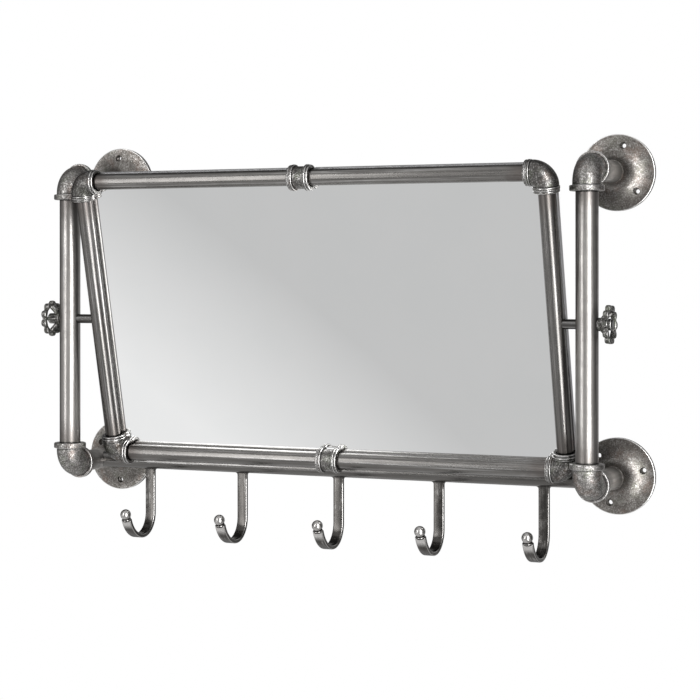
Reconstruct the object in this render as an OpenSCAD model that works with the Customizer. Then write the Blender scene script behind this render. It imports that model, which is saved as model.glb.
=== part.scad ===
// Wall mirror in a pipe frame that tilts on two pivot rods, with a rail of five hooks below.
// X runs to the viewer's right, Y runs into the wall and Z runs up.
// The origin is the centre of the four wall flanges, on the wall plane.

/* [Wall pipework] */
// Spacing of the two side pipes, axis to axis
side_spacing = 658.7; // [560:0.1:760]
// Height between the upper and lower standoff axes
standoff_rise = 350.4; // [340:0.1:370]
// Distance of the side pipe axes from the wall
standoff_reach = 129.4; // [120:0.1:145]
// Outer diameter of the side pipes and standoffs
pipe_d = 25.4; // [22:0.1:27]
// Wall of the side pipes and standoffs
pipe_wall = 2.2; // [1.5:0.1:3]

/* [Wall flanges] */
// Diameter of a wall flange
flange_d = 89; // [80:0.5:100]
// Height of the rolled rim above the wall
flange_rim_h = 6.6; // [5.8:0.1:8]
// Height of the neck above the wall
flange_neck_h = 29; // [24:0.5:33]
// Wall of the neck round the standoff
flange_neck_wall = 0.9; // [0.7:0.1:2.5]
// Depth of the flange that is left below the end of the standoff
flange_floor = 6; // [4:0.5:9]
// Distance of the screw holes from the flange axis
screw_hole_ring_r = 32; // [28:0.5:35]
// Radius of a screw hole
screw_hole_r = 2.5; // [2:0.1:3]
// Length of the straight wall of a screw hole
screw_hole_straight = 3; // [2:0.1:4]
// Radius of the countersink mouth
countersink_r = 4; // [3.4:0.1:5]

/* [Wall elbows] */
// Axis to mouth distance of a side elbow
elbow_reach = 26; // [24:0.5:32]
// Radius of the round body of a side elbow
elbow_body_r = 16.2; // [15:0.1:17]
// Bend radius of a side elbow's centre line
elbow_bend_r = 18; // [17:0.1:20]
// Radius of the band at a side elbow's mouth
elbow_band_r = 19.5; // [18.5:0.1:21]
// Depth of the socket in a side elbow
elbow_socket = 12; // [8:0.5:14]
// Length of the band at a side elbow's mouth
elbow_band_h = 6.6; // [5:0.1:8]
// Radius of the rounded edges of a side elbow's band
elbow_band_edge_r = 1.8; // [1:0.1:2.4]

/* [Hook rail] */
// Outer diameter of the hook rail
rail_d = 19; // [16:0.1:22]
// Wall of the hook rail
rail_wall = 2; // [1.5:0.1:3]
// Distance from the side pipe axes back to the rail axis
rail_behind = 67.4; // [62:0.1:75]

/* [Hooks] */
// Number of hooks
hook_count = 5; // [5:1:5]
// Spacing of the hooks
hook_spacing = 128.2; // [90:0.1:140]
// Distance of the middle hook to the right of the centre
hook_shift = 2.6; // [0:0.1:6]
// Width of the hook bar
hook_w = 13; // [10:0.1:15]
// Thickness of the hook bar
hook_t = 5; // [4:0.1:6]
// Radius of the hook bar's long edges
hook_edge_r = 1.7; // [0.5:0.1:1.9]
// Bend radius of the hook's centre line below the shank
hook_bend_r = 26; // [22:0.5:30]
// Bend radius of the rising arm's centre line
hook_arm_r = 36; // [30:0.5:50]
// Turn of the rising arm from the lowest point to the tip
hook_arm_turn = 69; // [50:1:76]
// Distance of the bend centre below the rail axis
hook_drop = 63.5; // [50:0.1:72]
// Diameter of the ball on the tip
hook_ball_d = 13; // [11:0.1:15]
// Radius of the fillet between hook and rail
hook_fillet_r = 2.6; // [1:0.1:4]

/* [Mirror frame] */
// Height of the frame between its pipe axes
frame_rise = 340; // [320:0.5:345]
// Outer diameter of the frame pipes
frame_d = 19; // [17:0.1:20]
// Wall of the frame pipes
frame_wall = 2; // [1.5:0.1:2.5]
// Gap between a frame elbow and a side elbow when the frame is centred
side_play = 3.7; // [3:0.1:8]
// Distance that the frame sits to the right of the centre
frame_shift = 3; // [0:0.1:3]
// Height of the pivot axis above the centre of the flanges
pivot_rise = 3.2; // [0:0.1:5]
// Lean of the frame, top towards the room
frame_lean = 13.55; // [10:0.05:15]

/* [Frame fittings] */
// Axis to mouth distance of a frame elbow
frame_elbow_reach = 22; // [20:0.5:26]
// Radius of the round body of a frame elbow
frame_elbow_body_r = 14.4; // [13.8:0.1:14.5]
// Bend radius of a frame elbow's centre line
frame_elbow_bend_r = 14.6; // [14.6:0.1:15]
// Radius of the band at a frame elbow's mouth
frame_band_r = 15; // [14:0.1:15.8]
// Length of the band at a frame elbow's mouth
frame_band_h = 7; // [6:0.1:7]
// Depth of the socket in a frame elbow
frame_socket = 10; // [7:0.5:11]
// How much further a coupling's rings stand out than a frame elbow's bands
coupling_extra = 0.3; // [0:0.1:0.5]
// Length of the ring at each end of a coupling
coupling_ring_h = 7; // [7:0.1:9]
// Length of a coupling
coupling_len = 26.5; // [26:0.5:36]
// Radius of a coupling's waist
coupling_waist_r = 13.1; // [12.5:0.1:13.2]
// Depth of the socket in each end of a coupling
coupling_socket = 11; // [10:0.5:12.5]

/* [Mirror panel] */
// Thickness of the mirror glass
glass_t = 3; // [2.5:0.1:4]
// Thickness of the board behind the glass
board_t = 2.2; // [1.5:0.1:3]
// Thickness of the sheet of the back pan
pan_sheet = 1.2; // [0.8:0.1:1.6]
// Distance from a pipe axis to the outer face of the back pan
pan_overhang = 9.6; // [9:0.1:10]

/* [Pivots and handwheels] */
// Diameter of a pivot rod
rod_d = 11; // [9:0.1:12]
// Distance from the side pipe axis to the outer face of a handwheel hub
hub_out = 28.5; // [27:0.5:34]
// Length that the rod end stands out of the hub
rod_end_out = 1.2; // [0.5:0.1:3]
// Radius of the hub
hub_r = 7.8; // [7.4:0.1:8.6]
// Radius of the handwheel to the tips of its lobes
wheel_r = 22; // [20:0.1:25]
// Number of lobes on a handwheel
wheel_lobes = 10; // [8:1:10]
// Number of spokes on a handwheel
wheel_spokes = 5; // [4:1:6]
// Radius of the middle of the rim
rim_ring_r = 15; // [14.5:0.1:15.5]
// Width of the rim between the lobes
rim_w = 5.2; // [4.8:0.1:5.4]
// Thickness of the rim
rim_t = 7.2; // [6:0.1:7.2]
// Thickness of a lobe
lobe_t = 8; // [8:0.1:8.6]
// Radius of a lobe
lobe_r = 4.6; // [4.2:0.1:4.8]
// Width of a spoke at the hub
spoke_w = 4.6; // [4:0.1:4.8]
// Width of a spoke at the rim
spoke_t = 4.2; // [3:0.1:4.6]
// Turn of the left handwheel
wheel_turn_l = 67.5; // [0:0.5:72]
// Turn of the right handwheel
wheel_turn_r = 54.5; // [0:0.5:72]

/* [Hidden] */
$fn = 96;

// Clearances and the overrun of cuts
cut = 1;
socket_gap = 0.1;
weld_gap = 0.1;
running_gap = 0.05;
panel_gap = 0.1;
glass_gap = 0.2;
fitting_gap = 0.4;
hub_gap = 0.3;

// Colours of the metals, the glass and the board
pipe_colour = [0.44, 0.43, 0.42];
cast_colour = [0.40, 0.39, 0.37];
wheel_colour = [0.26, 0.26, 0.25];
glass_colour = [0.80, 0.82, 0.83];
board_colour = [0.45, 0.36, 0.26];

// Wall pipework
pipe_r = pipe_d / 2;
side_x = side_spacing / 2;
standoff_z = standoff_rise / 2;
socket_end = elbow_reach - elbow_socket;
standoff_len = standoff_reach - socket_end - flange_floor;
rail_from_wall = standoff_reach - rail_behind;
side_pipe_len = standoff_rise - 2 * socket_end;

// Flange outline: its rim in shares of the land's width and of the rim's roll,
// its trumpet in shares of the way from neck to land and from rim to neck height
flange_r = flange_d / 2;
flange_neck_r = pipe_r + flange_neck_wall;
flange_land = 1.6;
flange_edge_h = 5.4;
flange_rim_share = [[0, 0], [0.12, 0.45], [0.42, 0.84], [0.75, 1], [1, 0.98]];
flange_curve_share = [
    [0.86, 0.02], [0.70, 0.055], [0.52, 0.13], [0.36, 0.23],
    [0.23, 0.36], [0.13, 0.49], [0.06, 0.64], [0.02, 0.79]
];
neck_round = 0.4;
// Turn of the three screw holes of the flanges, in the order of the nodes
flange_turns = [94, 77, -89, 14];
screw_hole_count = 3;

// Bands round the mouths, and the chamfer round each pipe where it goes in
bead_share = 0.27;
lip_share = 0.18;
band_step_share = 0.09;
lip_step_share = 0.03;
band_steps = 5;
mouth_chamfer = 1.4;

// Hook
rail_r = rail_d / 2;
hook_ball_r = hook_ball_d / 2;
hook_neck_r = 5.4;
hook_neck_bead = 1.3;
hook_neck_core = hook_neck_r - hook_neck_bead;
hook_bend_z = -standoff_z - hook_drop;
hook_tip_gap = 6.8;

// Mirror frame, worked out from the space between the side elbows
frame_r = frame_d / 2;
frame_x = side_x - elbow_band_r - frame_band_r - side_play;
frame_z = frame_rise / 2;
frame_socket_end = frame_elbow_reach - frame_socket;
half_pipe_end = coupling_len / 2 - coupling_socket;
half_pipe_len = frame_x - frame_socket_end - half_pipe_end;
frame_pipe_len = frame_rise - 2 * frame_socket_end;
coupling_ring_r = frame_band_r + coupling_extra;

// Panel, front to back behind the pipe axes
board_front = frame_r + panel_gap;
glass_front = board_front - glass_t;
board_back = board_front + board_t;
pan_back = board_back + pan_sheet;
pan_inner = pan_overhang - pan_sheet;
glass_inset = sqrt(frame_r * frame_r - glass_front * glass_front) + glass_gap;
corner_notch = frame_elbow_reach + fitting_gap;
coupling_notch_w = coupling_len + 2 * fitting_gap;
coupling_notch_h = coupling_ring_r + fitting_gap;

// Screws that hold the back pan to the pipes
screw_r = 1.9;
screw_gap = 0.2;
screw_head_r = 3.7;
screw_head_h = 2.1;
screw_head_share = 0.8;
screw_bite = 0.6;
top_screw_share = [0.22, 0.80];
side_screw_share = 0.5;

// Pivots and handwheels
rod_r = rod_d / 2;
rod_round = 0.8;
rod_seat = frame_r - frame_wall;
rod_len = side_x + hub_out + rod_end_out;
hub_in = pipe_r + hub_gap;
hub_len = hub_out - hub_in;
hub_round = 1.6;
hub_top_share = 0.9;
hub_waist_share = 0.55;
rim_recess = 0.8;
spoke_hub_share = 0.38;
spoke_start_share = 0.8;
hub_top_r = hub_r * hub_top_share;
hub_waist_z = hub_len * hub_waist_share;
rim_z = hub_len - lobe_t / 2 - rim_recess;
spoke_hub_z = hub_len * spoke_hub_share;
spoke_start = hub_r * spoke_start_share;
spoke_rise = atan((rim_z - spoke_hub_z) / (rim_ring_r - spoke_start));
// Half outlines of the rim and of a lobe, as shares of their width and thickness
rim_share = [[1, -0.4], [1, 0.4], [0.5, 1], [-0.5, 1], [-1, 0.4], [-1, -0.4], [-0.5, -1], [0.5, -1]];
lobe_share = [[0, -1], [0.55, -1], [0.85, -0.72], [1, -0.3], [1, 0.3], [0.85, 0.72], [0.55, 1], [0, 1]];

// Ring that rounds a shape off: a full torus round the Z axis
module torus(ring_r, tube_r) {
    rotate_extrude() translate([ring_r, 0]) circle(r = tube_r);
}

// Straight tube along +Z
module tube(len, outer_r, wall) {
    difference() {
        cylinder(h = len, r = outer_r);
        translate([0, 0, -cut]) cylinder(h = len + 2 * cut, r = outer_r - wall);
    }
}

// Band at a mouth: a round bead, a groove and a thinner lip. The mouth is at z = 0 and the band runs to -z.
module mouth_band(band_r, band_h) {
    bead = band_h * bead_share;
    lip = band_h * lip_share;
    translate([0, 0, -band_h]) cylinder(h = band_h, r = band_r * (1 - band_step_share));
    translate([0, 0, bead - band_h]) torus(band_r - bead, bead);
    translate([0, 0, -lip]) torus(band_r * (1 - lip_step_share) - lip, lip);
}

// Plain band at a mouth with rounded edges. The mouth is at z = 0 and the band runs to -z.
module round_band(band_r, band_h, edge_r) {
    rotate_extrude() polygon(concat(
        [[0, -band_h]],
        [for (i = [0:band_steps]) let (a = i * 90 / band_steps)
            [band_r - edge_r + edge_r * sin(a), edge_r - band_h - edge_r * cos(a)]],
        [for (i = [0:band_steps]) let (a = i * 90 / band_steps)
            [band_r - edge_r + edge_r * cos(a), edge_r * sin(a) - edge_r]],
        [[0, 0]]
    ));
}

// Widens the last stretch of a bore to its mouth, which is at z = 0
module mouth_cone(bore_r) {
    translate([0, 0, -mouth_chamfer])
        cylinder(h = mouth_chamfer + cut, r1 = bore_r, r2 = bore_r + mouth_chamfer + cut);
}

// Draws its child at the given distance along both arms of an elbow
module on_arms(distance) {
    for (turn = [[0, 90, 0], [-90, 0, 0]]) rotate(turn) translate([0, 0, distance]) children();
}

// Elbow in the XY plane with its mouths at +X and +Y, its axes crossing at the origin.
// The child is the band at a mouth.
module pipe_elbow(bore_r, body_r, arm_r, bend_r, reach, socket) {
    difference() {
        union() {
            translate([bend_r, bend_r, 0]) rotate([0, 0, 180])
                rotate_extrude(angle = 90) translate([bend_r, 0]) circle(r = body_r);
            on_arms(bend_r) cylinder(h = reach - bend_r, r = arm_r);
            on_arms(reach) children();
        }
        on_arms(reach - socket) cylinder(h = socket + cut, r = bore_r);
        on_arms(reach) mouth_cone(bore_r);
    }
}

// Outline of half a flange, from the wall up to the neck
function flange_outline() = let (
    land_r = flange_r - flange_land,
    roll_h = flange_rim_h - flange_edge_h,
    rise_h = flange_neck_h - flange_rim_h
) concat(
    [[pipe_r / 2, 0], [flange_r, 0]],
    [for (p = flange_rim_share) [flange_r - p[0] * flange_land, flange_edge_h + p[1] * roll_h]],
    [for (p = flange_curve_share)
        [flange_neck_r + p[0] * (land_r - flange_neck_r), flange_rim_h + p[1] * rise_h]],
    [[flange_neck_r, flange_neck_h - neck_round], [flange_neck_r - neck_round, flange_neck_h]],
    [[pipe_r / 2, flange_neck_h]]
);

// Flange on the wall, its neck towards the room
module wall_flange(turn) {
    difference() {
        rotate_extrude() polygon(flange_outline());
        translate([0, 0, -cut]) cylinder(h = flange_neck_h + 2 * cut, r = pipe_r - pipe_wall);
        translate([0, 0, flange_floor]) cylinder(h = flange_neck_h, r = pipe_r + socket_gap);
        for (i = [0:screw_hole_count - 1])
            rotate([0, 0, turn + i * 360 / screw_hole_count]) translate([screw_hole_ring_r, 0, 0]) {
                translate([0, 0, -cut]) cylinder(h = flange_neck_h, r = screw_hole_r);
                translate([0, 0, screw_hole_straight])
                    cylinder(h = countersink_r - screw_hole_r, r1 = screw_hole_r, r2 = countersink_r);
                translate([0, 0, screw_hole_straight + countersink_r - screw_hole_r])
                    cylinder(h = flange_neck_h, r = countersink_r);
            }
    }
}

module flange(x, z, turn) {
    color(cast_colour) translate([x, 0, z]) rotate([90, 0, 0]) wall_flange(turn);
}

module standoff(x, z) {
    color(pipe_colour) translate([x, -flange_floor, z]) rotate([90, 0, 0])
        tube(standoff_len, pipe_r, pipe_wall);
}

module side_elbow(x, side) {
    color(cast_colour) translate([x, -standoff_reach, side * standoff_z]) rotate([0, side * 90, 0])
        pipe_elbow(pipe_r + socket_gap, elbow_body_r, elbow_body_r, elbow_bend_r, elbow_reach, elbow_socket)
            round_band(elbow_band_r, elbow_band_h, elbow_band_edge_r);
}

// Side pipe with the cross bore that carries a pivot rod
module side_pipe(x) {
    color(pipe_colour) difference() {
        translate([x, -standoff_reach, -side_pipe_len / 2]) tube(side_pipe_len, pipe_r, pipe_wall);
        translate([x - pipe_d, -standoff_reach, pivot_rise]) rotate([0, 90, 0])
            cylinder(h = 2 * pipe_d, r = rod_r + running_gap);
    }
}

// Rail between the lower standoffs, its ends hollowed to sit against them
module hook_rail() {
    color(pipe_colour) difference() {
        translate([-side_x, -rail_from_wall, -standoff_z]) rotate([0, 90, 0])
            tube(side_spacing, rail_r, rail_wall);
        for (side = [-1, 1]) translate([side * side_x, 0, -standoff_z]) rotate([90, 0, 0])
            cylinder(h = standoff_reach, r = pipe_r + weld_gap);
    }
}

// Cross-section of the hook bar, its width along X and its long edges rounded
module bar_section() {
    flat_w = hook_w / 2 - hook_edge_r;
    flat_t = hook_t / 2 - hook_edge_r;
    polygon([for (c = [0:3]) for (i = [0:4])
        let (a = c * 90 + i * 90 / 4, sx = (c == 0 || c == 3) ? 1 : -1, sy = c < 2 ? 1 : -1)
        [sx * flat_w + hook_edge_r * cos(a), sy * flat_t + hook_edge_r * sin(a)]]);
}

// Fillet plate that widens the shank into the rail
module hook_root() {
    root_w = hook_w / 2 + hook_fillet_r;
    root_h = rail_r + hook_fillet_r;
    difference() {
        translate([-root_w, -hook_t / 2, -root_h]) cube([2 * root_w, hook_t, root_h - rail_r / 2]);
        for (side = [-1, 1]) translate([side * root_w, -hook_t, -root_h]) rotate([-90, 0, 0])
            cylinder(h = 2 * hook_t, r = hook_fillet_r);
    }
}

module hook(i) {
    x = hook_shift + (i - (hook_count - 1) / 2) * hook_spacing;
    color(cast_colour) translate([x, -rail_from_wall, -standoff_z]) difference() {
        union() {
            translate([0, 0, -hook_drop]) linear_extrude(hook_drop - rail_r / 2) bar_section();
            hook_root();
            translate([0, -hook_bend_r, -hook_drop]) rotate([0, 90, 0]) rotate([0, 0, 90]) {
                hook_arc(hook_bend_r, 90);
                rotate([0, 0, -90]) translate([hook_bend_r - hook_arm_r, 0, 0]) {
                    hook_arc(hook_arm_r, hook_arm_turn);
                    rotate([0, 0, -hook_arm_turn]) translate([hook_arm_r, 0, 0]) rotate([90, 0, 0]) hook_tip();
                }
            }
        }
        translate([-hook_w * 2, 0, 0]) rotate([0, 90, 0]) cylinder(h = hook_w * 4, r = rail_r + weld_gap);
    }
}

// Collar, neck and ball at the end of the bar, which is at z = 0
module hook_tip() {
    torus(hook_neck_core, hook_neck_bead);
    translate([0, 0, -hook_neck_bead / 2]) cylinder(h = hook_tip_gap, r = hook_neck_core);
    translate([0, 0, hook_tip_gap]) sphere(r = hook_ball_r);
}

// Bend of the hook bar about the Z axis, from +X clockwise
module hook_arc(arc_r, turn) {
    rotate_extrude(angle = -turn) translate([arc_r, 0]) rotate(90) bar_section();
}

// Places a piece of the frame, drawn upright about the pivot axis, at its lean
module on_frame() {
    translate([frame_shift, -standoff_reach, pivot_rise]) rotate([frame_lean, 0, 0]) children();
}

module frame_elbow(side_x_sign, side_z_sign) {
    color(cast_colour) on_frame() translate([side_x_sign * frame_x, 0, side_z_sign * frame_z])
        mirror([side_x_sign > 0 ? 1 : 0, 0, 0]) rotate([-side_z_sign * 90, 0, 0])
            pipe_elbow(frame_r + socket_gap, frame_elbow_body_r, coupling_waist_r, frame_elbow_bend_r,
                frame_elbow_reach, frame_socket) mouth_band(frame_band_r, frame_band_h);
}

// Hole through the rear wall of a pipe for a pan screw
module rear_hole() {
    rotate([-90, 0, 0]) cylinder(h = pan_back + cut, r = screw_r + running_gap);
}

// Side pipe of the frame with its pivot rod hole and its screw holes
module frame_side_pipe(side) {
    color(pipe_colour) on_frame() translate([side * frame_x, 0, 0]) difference() {
        translate([0, 0, -frame_pipe_len / 2]) tube(frame_pipe_len, frame_r, frame_wall);
        rotate([0, side * 90, 0]) cylinder(h = frame_d, r = rod_r + running_gap);
        for (s = [-1, 1]) translate([0, 0, s * side_screw_share * frame_z]) rear_hole();
    }
}

module frame_half_pipe(side, level) {
    color(pipe_colour) on_frame() translate([0, 0, level * frame_z]) difference() {
        translate([side * half_pipe_end, 0, 0]) rotate([0, side * 90, 0])
            tube(half_pipe_len, frame_r, frame_wall);
        for (s = top_screw_share) translate([side * s * frame_x, 0, 0]) rear_hole();
    }
}

module coupling(level) {
    color(cast_colour) on_frame() translate([0, 0, level * frame_z]) rotate([0, 90, 0]) difference() {
        union() {
            translate([0, 0, -coupling_len / 2]) cylinder(h = coupling_len, r = coupling_waist_r);
            for (s = [0, 1]) mirror([0, 0, s]) translate([0, 0, coupling_len / 2])
                mouth_band(coupling_ring_r, coupling_ring_h);
        }
        for (s = [0, 1]) mirror([0, 0, s]) {
            translate([0, 0, half_pipe_end]) cylinder(h = coupling_socket + cut, r = frame_r + socket_gap);
            translate([0, 0, coupling_len / 2]) mouth_cone(frame_r + socket_gap);
        }
    }
}

// Space that a frame elbow and a coupling need, for cutting the glass round them
module elbow_space() {
    space_r = frame_band_r + fitting_gap;
    for (sx = [-1, 1]) for (sz = [-1, 1]) translate([sx * frame_x, 0, sz * frame_z]) {
        rotate([0, -sx * 90, 0]) translate([0, 0, -space_r])
            cylinder(h = frame_elbow_reach + fitting_gap + space_r, r = space_r);
        mirror([0, 0, sz > 0 ? 1 : 0]) translate([0, 0, -space_r])
            cylinder(h = frame_elbow_reach + fitting_gap + space_r, r = space_r);
    }
}

module coupling_space() {
    for (sz = [-1, 1]) translate([-coupling_notch_w / 2, 0, sz * frame_z]) rotate([0, 90, 0])
        cylinder(h = coupling_notch_w, r = coupling_notch_h);
}

// Glass between the pipes, cut round the elbows and couplings
module mirror_glass() {
    half_w = frame_x - glass_inset;
    half_h = frame_z - glass_inset;
    color(glass_colour) on_frame() difference() {
        translate([-half_w, glass_front, -half_h]) cube([2 * half_w, glass_t, 2 * half_h]);
        elbow_space();
        coupling_space();
    }
}

// Plate behind the pipes with square notches round the elbows and couplings
module notched_plate(half_w, half_h, front, depth) {
    difference() {
        translate([-half_w, front, -half_h]) cube([2 * half_w, depth, 2 * half_h]);
        plate_notches(front - cut, depth + 2 * cut, 0);
    }
}

module plate_notches(front, depth, margin) {
    for (sx = [-1, 1]) for (sz = [-1, 1])
        translate([sx * frame_x, front, sz * frame_z])
            translate([-corner_notch - margin, 0, -corner_notch - margin])
                cube([2 * (corner_notch + margin), depth, 2 * (corner_notch + margin)]);
    for (sz = [-1, 1])
        translate([-coupling_notch_w / 2 - margin, front, sz * frame_z - coupling_notch_h - margin])
            cube([coupling_notch_w + 2 * margin, depth, 2 * (coupling_notch_h + margin)]);
}

// Screw places on the pipe axes, as x and z in the frame
screw_places = concat(
    [for (sx = [-1, 1]) for (sz = [-1, 1]) for (s = top_screw_share) [sx * s * frame_x, sz * frame_z]],
    [for (sx = [-1, 1]) for (sz = [-1, 1]) [sx * frame_x, sz * side_screw_share * frame_z]]
);

module screw_holes() {
    for (p = screw_places) translate([p[0], 0, p[1]]) rotate([-90, 0, 0])
        cylinder(h = pan_back + cut, r = screw_r + screw_gap);
}

module backing_board() {
    half_w = frame_x + pan_inner - panel_gap;
    half_h = frame_z + pan_inner - panel_gap;
    color(board_colour) on_frame() difference() {
        notched_plate(half_w, half_h, board_front, board_t);
        plate_notches(board_front - cut, board_t + 2 * cut, pan_sheet + panel_gap);
        screw_holes();
    }
}

// Sheet pan with a rim that stands forward behind the pipes
module back_pan() {
    half_w = frame_x + pan_overhang;
    half_h = frame_z + pan_overhang;
    color(pipe_colour) on_frame() difference() {
        notched_plate(half_w, half_h, glass_front, pan_back - glass_front);
        difference() {
            translate([-half_w + pan_sheet, glass_front - cut, -half_h + pan_sheet])
                cube([2 * (half_w - pan_sheet), board_back - glass_front + cut, 2 * (half_h - pan_sheet)]);
            translate([0, -cut, 0]) plate_notches(board_front + cut, board_t + cut, pan_sheet);
        }
        screw_holes();
    }
}

module pan_screws() {
    color(pipe_colour) on_frame() for (p = screw_places) translate([p[0], 0, p[1]]) rotate([-90, 0, 0]) {
        translate([0, 0, rod_seat - screw_bite])
            cylinder(h = pan_back - rod_seat + screw_bite, r = screw_r);
        translate([0, 0, pan_back]) cylinder(h = screw_head_h / 2, r = screw_head_r);
        translate([0, 0, pan_back + screw_head_h / 2])
            cylinder(h = screw_head_h / 2, r1 = screw_head_r, r2 = screw_head_r * screw_head_share);
    }
}

// Rod from the frame's side pipe out through the wall side's pipe to the handwheel
module pivot_rod(side) {
    start = frame_x;
    end = rod_len - side * frame_shift;
    color(pipe_colour) on_frame() rotate([0, side * 90, 0]) {
        translate([0, 0, start]) cylinder(h = end - rod_round - start, r = rod_r);
        translate([0, 0, end - rod_round]) cylinder(h = rod_round, r1 = rod_r, r2 = rod_r - rod_round);
    }
}

// One lobe of the rim, a disc with a rounded edge
module rim_lobe() {
    rotate_extrude() polygon([for (p = lobe_share) [p[0] * lobe_r, p[1] * lobe_t / 2]]);
}

// Handwheel with its hub's inner face at z = 0 and its outer face at z = hub_len
module wheel() {
    difference() {
        union() {
            rotate_extrude() polygon([
                [0, 0], [hub_r - hub_round, 0], [hub_r, hub_round],
                [hub_r, hub_waist_z], [hub_top_r, hub_len - hub_round / 2],
                [hub_top_r - hub_round / 2, hub_len], [0, hub_len]
            ]);
            translate([0, 0, rim_z]) rotate_extrude() translate([rim_ring_r, 0])
                polygon([for (p = rim_share) [p[0] * rim_w / 2, p[1] * rim_t / 2]]);
            for (i = [0:wheel_lobes - 1]) rotate([0, 0, (i + 0.5) * 360 / wheel_lobes])
                translate([wheel_r - lobe_r, 0, rim_z]) rim_lobe();
            for (i = [0:wheel_spokes - 1]) rotate([0, 0, i * 360 / wheel_spokes])
                translate([spoke_start, 0, spoke_hub_z]) rotate([0, 90 - spoke_rise, 0])
                    cylinder(h = (rim_ring_r - spoke_start) / cos(spoke_rise), r1 = spoke_w / 2, r2 = spoke_t / 2);
        }
        translate([0, 0, -cut]) cylinder(h = hub_len + 2 * cut, r = rod_r + running_gap);
    }
}

module handwheel(side, turn) {
    color(wheel_colour) on_frame() rotate([0, side * 90, 0])
        translate([0, 0, side_x - side * frame_shift + hub_in]) rotate([0, 0, turn]) wheel();
}

flange(-side_x, standoff_z, flange_turns[0]);  // flange_tl
flange(side_x, standoff_z, flange_turns[1]);  // flange_tr
flange(-side_x, -standoff_z, flange_turns[2]);  // flange_bl
flange(side_x, -standoff_z, flange_turns[3]);  // flange_br
standoff(-side_x, standoff_z);  // standoff_tl
standoff(side_x, standoff_z);  // standoff_tr
standoff(-side_x, -standoff_z);  // standoff_bl
standoff(side_x, -standoff_z);  // standoff_br
side_elbow(-side_x, 1);  // elbow_tl
side_elbow(side_x, 1);  // elbow_tr
side_elbow(-side_x, -1);  // elbow_bl
side_elbow(side_x, -1);  // elbow_br
side_pipe(-side_x);  // side_pipe_l
side_pipe(side_x);  // side_pipe_r
hook_rail();
hook(0);  // hook_1
hook(1);  // hook_2
hook(2);  // hook_3
hook(3);  // hook_4
hook(4);  // hook_5
frame_elbow(-1, 1);  // frame_elbow_tl
frame_elbow(1, 1);  // frame_elbow_tr
frame_elbow(-1, -1);  // frame_elbow_bl
frame_elbow(1, -1);  // frame_elbow_br
frame_side_pipe(-1);  // frame_pipe_l
frame_side_pipe(1);  // frame_pipe_r
frame_half_pipe(-1, 1);  // top_pipe_l
frame_half_pipe(1, 1);  // top_pipe_r
frame_half_pipe(-1, -1);  // bottom_pipe_l
frame_half_pipe(1, -1);  // bottom_pipe_r
coupling(1);  // coupling_top
coupling(-1);  // coupling_bottom
mirror_glass();
backing_board();
back_pan();
pan_screws();
pivot_rod(-1);  // pivot_rod_l
pivot_rod(1);  // pivot_rod_r
handwheel(-1, wheel_turn_l);  // handwheel_l
handwheel(1, wheel_turn_r);  // handwheel_r
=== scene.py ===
# Wall mirror with hooks: the CAD frame dressed with cast, brushed and silvered finishes.
import math
import bmesh
import bpy
import numpy as np
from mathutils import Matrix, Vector


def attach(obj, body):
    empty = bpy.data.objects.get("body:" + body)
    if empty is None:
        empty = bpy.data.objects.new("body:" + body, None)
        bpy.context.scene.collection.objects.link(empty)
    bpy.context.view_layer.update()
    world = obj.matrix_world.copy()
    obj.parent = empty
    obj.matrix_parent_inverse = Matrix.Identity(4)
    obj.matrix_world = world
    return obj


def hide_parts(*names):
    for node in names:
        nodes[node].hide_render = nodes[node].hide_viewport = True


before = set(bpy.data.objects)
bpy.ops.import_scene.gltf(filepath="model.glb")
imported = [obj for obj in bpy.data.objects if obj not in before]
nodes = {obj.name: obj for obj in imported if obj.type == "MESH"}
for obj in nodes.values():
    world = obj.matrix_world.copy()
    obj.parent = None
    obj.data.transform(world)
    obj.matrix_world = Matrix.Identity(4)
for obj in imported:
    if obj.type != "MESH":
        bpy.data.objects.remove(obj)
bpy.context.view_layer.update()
scene = bpy.context.scene
scene.view_settings.view_transform = "Standard"
print("frame loaded:", len(nodes), "nodes")


# camera at the photo's viewing angle: level, from the viewer's right
camera = {"place": (0.9237, -2.1562, 0.0609), "turnDeg": 23.404, "lensMm": 98.42, "sensorMm": 36.0, "shiftY": -0.1119,
          "clip": (0.05, 60.0)}


def addCamera(c):
    data = bpy.data.cameras.new("camera")
    data.lens = c["lensMm"]
    data.sensor_width = c["sensorMm"]
    data.sensor_fit = "HORIZONTAL"
    data.shift_y = c["shiftY"]
    data.clip_start, data.clip_end = c["clip"]
    data.dof.use_dof = False
    obj = bpy.data.objects.new("camera", data)
    obj.location = c["place"]
    obj.rotation_euler = (math.radians(90), 0, math.radians(c["turnDeg"]))
    scene.collection.objects.link(obj)
    scene.camera = obj


addCamera(camera)
print("camera set")


# shader maths as plain expressions on sockets
class Sock:
    def __init__(self, graph, out):
        self.graph = graph
        self.out = out

    def calc(self, how, other=None, swap=False, clamp=False):
        pair = (other, self) if swap else (self, other)
        values = {i: v for i, v in enumerate(pair) if v is not None}
        return self.graph.add("ShaderNodeMath", {"operation": how, "use_clamp": clamp}, values)

    def __add__(self, o): return self.calc("ADD", o)
    def __radd__(self, o): return self.calc("ADD", o, True)
    def __sub__(self, o): return self.calc("SUBTRACT", o)
    def __rsub__(self, o): return self.calc("SUBTRACT", o, True)
    def __mul__(self, o): return self.calc("MULTIPLY", o)
    def __rmul__(self, o): return self.calc("MULTIPLY", o, True)
    def __neg__(self): return self.calc("MULTIPLY", -1.0)
    def __abs__(self): return self.calc("ABSOLUTE")

    def clamped(self):
        return self.calc("ADD", 0.0, clamp=True)


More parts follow.
